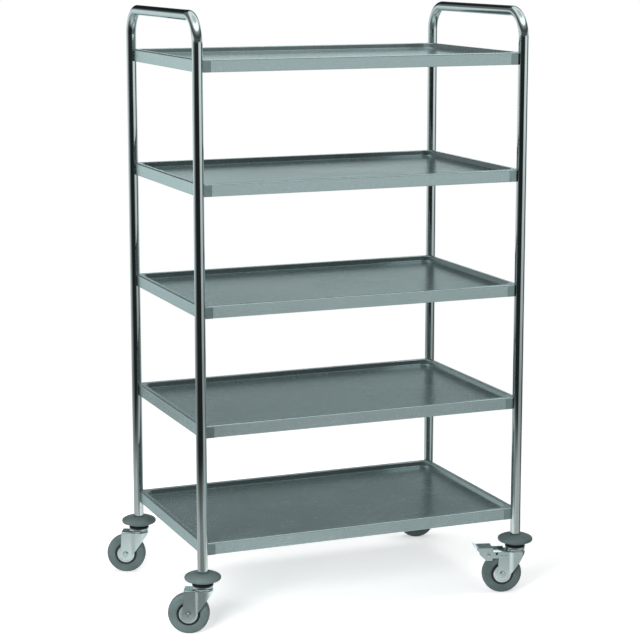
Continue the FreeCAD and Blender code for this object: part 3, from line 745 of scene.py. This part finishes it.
def threaded_rod(r, low, high):
    """Rod whose lower stretch is a screw thread: r less the depth times the zigzag of z over pitch plus
    a over a full turn. The depth fades out over the last turn."""
    a = full_turn(thread_facets)
    z = np.linspace(low + thread_chamfer, low + thread_length, thread_rows)[:, None]
    zigzag = np.abs(2 * ((z / thread_pitch + a / (2 * math.pi)) % 1) - 1)
    fade = np.clip((low + thread_length - z) / thread_pitch, 0, 1)
    radius = np.minimum(r - thread_depth * zigzag * fade, r - thread_depth * thread_crest_flat * fade)
    ring = np.ones((1, thread_facets))
    radius = np.vstack([ring * (r - thread_chamfer), radius, ring * r])
    z = np.vstack([[[low]], z, [[high]]])
    grid = np.stack([radius * np.cos(a), radius * np.sin(a), np.broadcast_to(z, radius.shape)], axis=-1)
    faces = brace_rows(len(z), thread_facets, False).reshape(-1, 4).tolist()
    faces.append(list(range(thread_facets))[::-1])
    faces.append(list(range((len(z) - 1) * thread_facets, len(z) * thread_facets)))
    return grid.reshape(-1, 3), faces


def axle_bolt(castor):
    """Hexagon head on the near side, rod with a threaded end, and a hexagon nut on the far side."""
    seat = fork_outer + fit
    rod = threaded_rod(axle_r, -(seat + nut_height + bolt_end), seat + bolt_head_height / 2)
    head_points, head_faces = hex_prism(bolt_head_height, 0.0)
    nut_points, nut_faces = hex_prism(nut_height, axle_r + fit)
    head = (head_points + (0, 0, seat), head_faces)
    nut = (nut_points * (1, -1, -1) - (0, 0, seat), nut_faces)
    return on_axle(castor, *joined([rod, head, nut]))


def domed_head(r, low, high):
    """Button head: straight side, then a dome that falls as a quarter ellipse from its middle."""
    turn = np.linspace(0, math.pi / 2, dome_steps)
    side = low + (high - low) * head_straight
    dome = np.stack([r * np.cos(turn), side + (high - side) * np.sin(turn)], axis=-1)
    return turned(np.vstack([[(0, low), (r * head_taper, low)], dome]), head_facets)


def headed_rod(rod_r, head_r, seat, end, start):
    """Rod from start to the head's inside, with a domed head from seat to end."""
    inside = (seat + end) / 2
    rod = turned(np.array([(0, start), (rod_r, start), (rod_r, inside), (0, inside)]), rod_facets)
    return [rod, domed_head(head_r, seat, end)]


def brake_pin(castor):
    """Pin through the fork's cheeks and the pedal, domed at both ends."""
    place = np.array(joints[castor + "_brake"]["pos_m"], float)
    stem, axes = space_of(castor)
    x, _, z = axes @ (place - stem)
    seat = pedal_outer + pedal_boss + seat_gap
    near = headed_rod(pin_r, pin_head_r, seat, seat + pin_head_height, 0.0)
    far = [(points * (1, -1, -1), faces) for points, faces in near]
    points, faces = joined(near + far)
    return along_axle(points, x, z), faces


def brake_rivets(castor):
    """Two rivets through each fork side and the leaf's ear behind it, with domed heads outside."""
    wheel_r = wheel_radius(castor)
    ear_inner = fork_outer - fork_sheet - seat_gap - leaf_sheet
    ring_r = wheel_r + leaf_gap - ear_depth / 2
    rivet, rivet_faces = joined(headed_rod(rivet_r, rivet_head_r, fork_outer + fit,
                                           fork_outer + rivet_head_height, ear_inner))
    shapes = []
    for turn in np.radians(rivet_degs):
        x, z = -trail + ring_r * math.cos(turn), wheel_r + ring_r * math.sin(turn)
        for side in (1, -1):
            shapes.append((along_axle(rivet * (1, side, side), x, z), rivet_faces))
    return joined(shapes)


def castor_piece(castor, make):
    """The piece that a function makes in the castor's own space, named after that function."""
    part = make.__name__
    points, faces = make(castor)
    crease = creases.get(part, crease_angle)
    finished(castor + "_" + part, at_castor(points, castor), faces, crease)


def put(tree, kind, sockets=None, **settings):
    """A node with its settings, and each named socket either linked to another or set to a value."""
    made = tree.nodes.new("ShaderNode" + kind)
    for name, value in settings.items():
        setattr(made, name, value)
    for key, value in (sockets or {}).items():
        if isinstance(value, bpy.types.NodeSocket):
            tree.links.new(value, made.inputs[key])
        else:
            made.inputs[key].default_value = value
    return made


def maths(tree, operation, first, second=0.0, clamp=False):
    """A sum, product or the like of two values."""
    return put(tree, "Math", {0: first, 1: second}, operation=operation, use_clamp=clamp).outputs[0]


def vector_maths(tree, operation, first, second=(0, 0, 0)):
    """The same for vectors. Only a length comes out as a value."""
    made = put(tree, "VectorMath", {0: first, 1: second}, operation=operation)
    return made.outputs["Value" if operation == "LENGTH" else "Vector"]


def noise(tree, place, per_metre, detail, roughness, warp=0.0):
    """Noise of a size per metre, about 0.5 in its middle."""
    return put(tree, "TexNoise",
               {"Vector": place, "Scale": per_metre, "Detail": detail, "Roughness": roughness,
                "Distortion": warp}).outputs["Fac"]


def spread(tree, value, start, end, low=0.0, high=1.0, **settings):
    """The stretch of a value from start to end, spread over low to high and held there beyond it."""
    return put(tree, "MapRange",
               {"Value": value, "From Min": start, "From Max": end, "To Min": low, "To Max": high},
               **settings).outputs["Result"]


def blend(tree, mask, first, second):
    """Colour between two by a mask."""
    return put(tree, "Mix", {0: mask, 6: first, 7: second}, data_type="RGBA").outputs[2]


def new_group(name, inputs, outputs):
    """Empty node group with its sockets, and its input and output nodes."""
    tree = bpy.data.node_groups.new(name, "ShaderNodeTree")
    for label, kind in inputs:
        tree.interface.new_socket(label, in_out="INPUT", socket_type=kind)
    for label in outputs:
        tree.interface.new_socket(label, in_out="OUTPUT", socket_type="NodeSocketFloat")
    return tree, tree.nodes.new("NodeGroupInput").outputs, tree.nodes.new("NodeGroupOutput").inputs


def grain_lines():
    """Fine parallel lines of a rolled or brushed metal: two noises stretched along the lines."""
    tree, given, made = new_group(
        "grain_lines", [("Coordinates", "NodeSocketVector"), ("Stretch", "NodeSocketVector")], ["Lines"])
    place = vector_maths(tree, "MULTIPLY", given["Coordinates"], given["Stretch"])
    coarse, fine = noise(tree, place, 1.0, 3.0, 0.65), noise(tree, place, fine_grain, 2.0, 0.5)
    both = maths(tree, "MULTIPLY", maths(tree, "ADD", coarse, fine), 0.5)
    tree.links.new(spread(tree, both, *grain_band), made["Lines"])
    return tree


def wiped_smudges():
    """Cloudy patches left by hands and wiping: a warped noise with its middle widened."""
    tree, given, made = new_group("wiped_smudges", patch_inputs, ["Mask"])
    cloud = noise(tree, given["Coordinates"], given["Per metre"], 5.0, 0.6, smudge_warp)
    tree.links.new(spread(tree, cloud, *smudge_band), made["Mask"])
    return tree


def hair_scratches():
    """Sparse hairline scratches: where a long stretched noise crosses its middle value, in two
    directions, kept only inside patches of a coarser noise."""
    tree, given, made = new_group("hair_scratches", patch_inputs, ["Mask"])
    place, per_metre = given["Coordinates"], given["Per metre"]
    layers = []
    for turn in scratch_turns:
        tilted = put(tree, "VectorRotate",
                     {"Vector": place, "Rotation": (turn * 0.7, turn * 0.4, turn)},
                     rotation_type="EULER_XYZ").outputs[0]
        wave = noise(tree, vector_maths(tree, "MULTIPLY", tilted, scratch_stretch), per_metre, 1.0, 0.4)
        off = maths(tree, "ABSOLUTE", maths(tree, "SUBTRACT", wave, 0.5))
        layers.append(spread(tree, off, 0.0, scratch_half_width, 1.0, 0.0))
    patches = spread(tree, noise(tree, place, per_metre, 2.0, 0.5), *scratch_patch_band)
    tree.links.new(maths(tree, "MULTIPLY", maths(tree, "MAXIMUM", *layers), patches), made["Mask"])
    return tree


def fine_dust():
    """Matt film with small specks on rubber and plastic: a cloudy noise and a thresholded speckle."""
    tree, given, made = new_group("fine_dust", patch_inputs, ["Film", "Specks"])
    place, per_metre = given["Coordinates"], given["Per metre"]
    tree.links.new(spread(tree, noise(tree, place, per_metre, 4.0, 0.6), *dust_band), made["Film"])
    specks = noise(tree, place, maths(tree, "MULTIPLY", per_metre, specks_per_patch), 2.0, 0.6)
    tree.links.new(spread(tree, specks, *speck_band), made["Specks"])
    return tree


groups = {make.__name__: make() for make in (grain_lines, wiped_smudges, hair_scratches, fine_dust)}


def effect(tree, name, place, spacing):
    """A shared effect in a material, with the coordinates and the spacing that it reads. Its outputs."""
    return put(tree, "Group", {0: place, 1: spacing}, node_tree=groups[name]).outputs


def blank(name, constants):
    """New material with its Principled shader, and the Object coordinates that its patterns read."""
    material = bpy.data.materials.new(name)
    material.use_nodes = True
    tree = material.node_tree
    shader = tree.nodes["Principled BSDF"]
    for key, value in constants.items():
        shader.inputs[key].default_value = value
    return material, tree, shader, put(tree, "TexCoord").outputs["Object"]


def between(tree, low, high, mask):
    """Value between two by a mask."""
    return spread(tree, mask, 0.0, 1.0, low, high)


def relief(tree, shader, height, depth):
    """Bump of a height from 0 to 1 over a real depth in metres."""
    bump = put(tree, "Bump", {"Height": height, "Distance": depth})
    tree.links.new(bump.outputs["Normal"], shader.inputs["Normal"])


def well_walls(tree):
    """1 on the long walls of a tray's well, where painted shade darkens the base colour, and 0 on the short
    walls, rim and floor. From the sheet map: a place's distance to the well's edge, a rectangle with
    rounded corners, kept where it lies within the wall's draft, times the share of the way across the
    tray in that distance."""
    low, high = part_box("tray_1")
    half = [(high[i] - low[i]) / 2 - rim_width - well_corner_r for i in (0, 1)]
    place = put(tree, "UVMap", uv_map="sheet").outputs[0]
    past = vector_maths(tree, "SUBTRACT", vector_maths(tree, "ABSOLUTE", place), (*half, 0))
    past = vector_maths(tree, "MAXIMUM", past)
    reach = vector_maths(tree, "LENGTH", past)
    past_y = put(tree, "SeparateXYZ", {0: past}).outputs["Y"]
    across = maths(tree, "DIVIDE", past_y, reach, clamp=True)
    away = maths(tree, "SUBTRACT", reach, well_corner_r)
    within = [spread(tree, away, *band) for band in (painted_shade_top_band, painted_shade_foot_band)]
    return maths(tree, "MULTIPLY", across, maths(tree, "MULTIPLY", *within))


def metal(name, dark, pale, rough, stretch, smudge_scale, line_depth, scratch_scale=90.0,
          line_rough=0.05, smudge_rough=0.08, scratch_depth=0.6, sheet_map=False, metallic=1.0):
    """Steel or zinc: tone from smudges and grain, roughness from grain, smudges and scratches, relief
    from grain and scratches. With a sheet map the grain follows the sheet and painted shade darkens the well's
    long walls."""
    material, tree, shader, place = blank(name, {"Metallic": metallic, "Specular Tint": metal_tint})
    grain_place = put(tree, "UVMap", uv_map="sheet").outputs[0] if sheet_map else place
    lines = effect(tree, "grain_lines", grain_place, stretch)["Lines"]
    smudges = effect(tree, "wiped_smudges", place, smudge_scale)["Mask"]
    scratches = effect(tree, "hair_scratches", place, scratch_scale)["Mask"]
    mask = maths(tree, "ADD", maths(tree, "MULTIPLY", lines, grain_share),
                 maths(tree, "MULTIPLY", smudges, smudge_share))
    colour = blend(tree, mask, (*dark, 1), (*pale, 1))
    # Painted shade: the base colour on the well's long walls is darkened towards a dark tone, a little less where
    # smudges lie.
    if sheet_map:
        shade_strength = between(tree, painted_wall_shade, painted_wall_shade - painted_wall_shade_uneven, smudges)
        colour = blend(tree, maths(tree, "MULTIPLY", well_walls(tree), shade_strength), colour, painted_wall_shade_tone)
    tree.links.new(colour, shader.inputs["Base Color"])
    uneven = maths(tree, "ADD", between(tree, rough - line_rough, rough + line_rough, lines),
                   maths(tree, "MULTIPLY", smudges, smudge_rough))
    worn = maths(tree, "ADD", uneven, maths(tree, "MULTIPLY", scratches, scratch_rough), clamp=True)
    tree.links.new(worn, shader.inputs["Roughness"])
    height = maths(tree, "SUBTRACT", lines, maths(tree, "MULTIPLY", scratches, scratch_depth))
    relief(tree, shader, height, line_depth)
    return material


def moulded(name, dark, pale, rough, film_scale, grain_scale, grain_depth, specular):
    """Rubber or plastic: tone and roughness from a film of dust, specks, and a fine moulded grain."""
    material, tree, shader, place = blank(name, {"Metallic": 0.0, "Specular IOR Level": specular})
    dust = effect(tree, "fine_dust", place, film_scale)
    mask = maths(tree, "ADD", maths(tree, "MULTIPLY", dust["Film"], film_share),
                 maths(tree, "MULTIPLY", dust["Specks"], speck_share), clamp=True)
    tree.links.new(blend(tree, mask, (*dark, 1), (*pale, 1)), shader.inputs["Base Color"])
    uneven = between(tree, rough - film_smooths, rough + film_dulls, dust["Film"])
    tree.links.new(uneven, shader.inputs["Roughness"])
    relief(tree, shader, noise(tree, place, grain_scale, 3.0, 0.6), grain_depth)
    return material


def dress_all():
    """Every piece of the trolley, each in its finish."""
    for side in ("left", "right"):
        frame_tube(side)
    for number in range(1, tray_count + 1):
        tray(number)
        corner = "tray_%d_corners" % number
        dress(copy_of(corner, thin_edge), corner)
    for castor in ("front_left", "front_right", "back_left", "back_right"):
        for make in (bumper, seal):
            castor_piece(castor, make)
        fork(castor)
        for make in (tyre, wheel_centre, thread_guards, axle_bolt):
            castor_piece(castor, make)
        if castor + "_brake" in joints:
            for make in (brake_pin, brake_rivets):
                castor_piece(castor, make)
            for part, edge in (("_brake_pedal", pressed_edge), ("_brake_leaf", thin_edge)):
                dress(copy_of(castor + part, edge), castor + part)
    for node, piece in frame["nodes"].items():
        if not piece.hide_render:
            for slot in piece.material_slots:
                slot.material = finishes[slot_of[node]]


def stage_material(piece):
    """New material for the floor or the studio, with an output node only."""
    material = bpy.data.materials.new(piece.name)
    material.use_nodes = True
    tree = material.node_tree
    tree.nodes.clear()
    piece.data.materials.append(material)
    return tree, put(tree, "OutputMaterial").inputs["Surface"]


def glow(tree, strength, tint=(1, 1, 1)):
    """Surface that gives off light of a strength."""
    return put(tree, "Emission", {"Color": (*tint, 1), "Strength": strength}).outputs[0]


def shader_blend(tree, share, first, second):
    """Surface between two by a share."""
    return put(tree, "MixShader", {0: share, 1: first, 2: second}).outputs[0]


def seen_directly(tree):
    """1 for rays that show the background: from the camera, mirrored in metal or through glass."""
    path = put(tree, "LightPath").outputs
    return maths(tree, "MAXIMUM", path["Is Camera Ray"],
                 maths(tree, "MAXIMUM", path["Is Glossy Ray"], path["Is Transmission Ray"]))


def white_floor():
    """Pale matt floor that keeps the shadow near the trolley and fades into the white background."""
    corners = [(x * floor_half, y * floor_half, 0) for x, y in ((-1, -1), (1, -1), (1, 1), (-1, 1))]
    floor = new_piece("floor", corners, [(0, 1, 2, 3)])
    tree, surface = stage_material(floor)
    away = vector_maths(tree, "LENGTH", put(tree, "TexCoord").outputs["Object"])
    far = spread(tree, away, *floor_fade, interpolation_type="SMOOTHSTEP")
    matt = put(tree, "BsdfDiffuse", {"Color": floor_tone}).outputs[0]
    near = put(tree, "AddShader", {0: matt, 1: glow(tree, floor_lift)}).outputs[0]
    shown = shader_blend(tree, far, near, glow(tree, 1.0))
    tree.links.new(shader_blend(tree, seen_directly(tree), matt, shown), surface)


def panel_mask(azimuth, height, sides, ends):
    """1 inside a panel between two azimuths and two heights in degrees, falling to 0 over soft edges."""
    middle, half = (sides[0] + sides[1]) / 2, (sides[1] - sides[0]) / 2
    aside = np.abs((azimuth - middle + 180) % 360 - 180)
    across = np.clip((half - aside) / panel_soft_side + 0.5, 0, 1)
    low = np.clip((height - ends[0]) / panel_soft_end + 0.5, 0, 1)
    top = np.clip((ends[1] - height) / panel_soft_end + 0.5, 0, 1)
    return across * low * top


def studio_walls():
    """Studio round the trolley as only mirrors show it: a gradient with pale and dark panels on it. Its
    points are r sin a, -r cos a, z, where r and z run outwards along the floor and up a dome, and a is
    the azimuth. The height of a point is the angle at which the middle of the trolley sees it."""
    out = np.concatenate([studio_near_rings, np.geomspace(studio_open_r, studio_r, studio_rings)])
    rise = np.radians(np.linspace(0, 90, studio_rises + 1)[1:])
    r = np.concatenate([out, studio_r * np.cos(rise)])
    z = np.concatenate([np.full(len(out), studio_lift), studio_r * np.sin(rise)])
    r[-1] = studio_top_r
    a = 2 * np.pi * np.arange(studio_columns) / studio_columns
    every = np.ones((1, studio_columns))
    grid = np.stack([np.outer(r, np.sin(a)), -np.outer(r, np.cos(a)), z[:, None] * every], axis=-1)
    faces = brace_rows(len(r), studio_columns, False).reshape(-1, 4)[:, ::-1]
    piece = new_piece("studio_walls", grid, faces.tolist())
    azimuth = np.degrees(a)[None, :]
    height = np.degrees(np.arctan2(z - studio_eye, r))[:, None]
    shade = np.interp(height, *zip(*studio_gradient)) * every
    for sides, ends, bright in studio_panels:
        mask = panel_mask(azimuth, height, sides, ends)
        shade = shade * (1 - mask) + bright * mask
    cover = np.clip((r - studio_clear_r) / studio_clear_fade, 0, 1)[:, None] * every
    for label, values in (("shade", shade), ("cover", cover)):
        layer = piece.data.attributes.new(label, "FLOAT", "POINT")
        layer.data.foreach_set("value", values.astype(np.float32).ravel())
    tree, surface = stage_material(piece)
    shown = put(tree, "Attribute", attribute_name="shade").outputs["Fac"]
    amount = put(tree, "Attribute", attribute_name="cover").outputs["Fac"]
    clear = put(tree, "BsdfTransparent").outputs[0]
    tree.links.new(shader_blend(tree, amount, clear, glow(tree, shown, studio_tint)), surface)
    for rays in ("camera", "diffuse", "shadow", "transmission"):
        setattr(piece, "visible_" + rays, False)


def set_up(name, data, place, toward):
    """A lamp or camera at a place, facing in a direction with its top up."""
    holder = bpy.data.objects.new(name, data)
    holder.location = place
    holder.rotation_euler = toward.to_track_quat("-Z", "Y").to_euler()
    bpy.context.scene.collection.objects.link(holder)
    return holder


def soft_lamp(name, place, target, size, power):
    """Rectangular lamp of a width and height, hidden from mirrors."""
    lamp = bpy.data.lights.new(name, "AREA")
    lamp.shape = "RECTANGLE"
    lamp.size, lamp.size_y = size
    lamp.energy = power
    set_up(name, lamp, place, Vector(target) - Vector(place)).visible_glossy = False


def white_world():
    """White behind the trolley and in mirrors, and a softer even light for matt surfaces."""
    world = bpy.data.worlds.new("studio")
    world.use_nodes = True
    tree = world.node_tree
    strength = between(tree, world_fill, 1.0, seen_directly(tree))
    tree.links.new(strength, tree.nodes["Background"].inputs["Strength"])
    tree.nodes["Background"].inputs["Color"].default_value = (1, 1, 1, 1)
    bpy.context.scene.world = world


def camera():
    """Viewing angle of the photograph, fitted to the trolley's real size."""
    posts = [joints[name + "_swivel"]["pos_m"] for name in ("front_left", "back_right")]
    middle = np.mean(posts, axis=0)
    data = bpy.data.cameras.new("camera")
    data.lens = camera_lens
    data.shift_y = camera_shift
    place = (middle[0] + camera_offset[0], middle[1] + camera_offset[1], camera_height)
    level = math.cos(camera_pitch)
    ahead = Vector((math.sin(camera_yaw) * level, math.cos(camera_yaw) * level, -math.sin(camera_pitch)))
    bpy.context.scene.camera = set_up("camera", data, place, ahead)


finishes = {name: metal(name, *look, **metal_changes.get(name, {})) for name, look in metals.items()}
finishes.update({name: moulded(name, *look) for name, look in mouldings.items()})
dress_all()
white_floor()
studio_walls()
soft_lamp("left_softbox", place=(-1.6, -1.7, 1.0), target=(-0.3, -0.1, 0.3), size=(0.8, 1.1), power=56)
soft_lamp("right_softbox", place=(3.4, -2.0, 2.4), target=(0, 0, 0.7), size=(1.6, 2.6), power=5)
soft_lamp("top_softbox", place=(0, 0.3, 4.2), target=(0, 0, 0.7), size=(3.6, 2.8), power=105)
camera()
white_world()
bpy.context.scene.view_settings.view_transform = "Standard"
